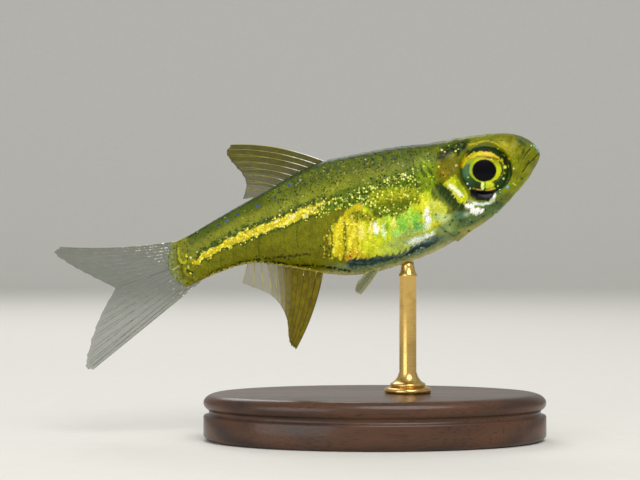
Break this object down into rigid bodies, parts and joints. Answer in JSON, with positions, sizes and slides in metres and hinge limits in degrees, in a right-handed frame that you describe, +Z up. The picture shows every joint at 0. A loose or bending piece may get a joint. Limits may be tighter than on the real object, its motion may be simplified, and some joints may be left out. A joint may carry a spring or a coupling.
{
  "type": "kubotai rasbora display model",
  "caption": "Life-size still model of a small neon-green aquarium fish, nose up, held on a rod over a flat oval base.",
  "frame": {"origin": "centre of the underside of the stand's base", "axes": "+X towards the fish's nose, +Z up, +Y to the fish's left"},
  "size_m": [0.0232, 0.01, 0.0143],
  "materials": {
    "head_skin": "wet olive and yellow-green skin",
    "body_skin": "wet olive skin with a gold stripe and a yellow-green belly",
    "eye": "wet and glossy",
    "fin": "clear grey-green membrane",
    "anal_fin": "yellow-olive membrane",
    "stand_wood": "dark, satin varnish",
    "stand_metal": "polished"
  },
  "bodies": {
    "root": {"head": "head_skin", "torso": "body_skin", "tail": "body_skin", "eye_left": "eye", "eye_right": "eye", "dorsal_fin": "fin", "anal_fin": "anal_fin", "caudal_fin_upper": "fin", "caudal_fin_lower": "fin", "pectoral_fin_left": "fin", "pectoral_fin_right": "fin", "pelvic_fin_left": "fin", "pelvic_fin_right": "fin", "stand_base": "stand_wood", "stand_rod": "stand_metal"}
  },
  "joints": []
}
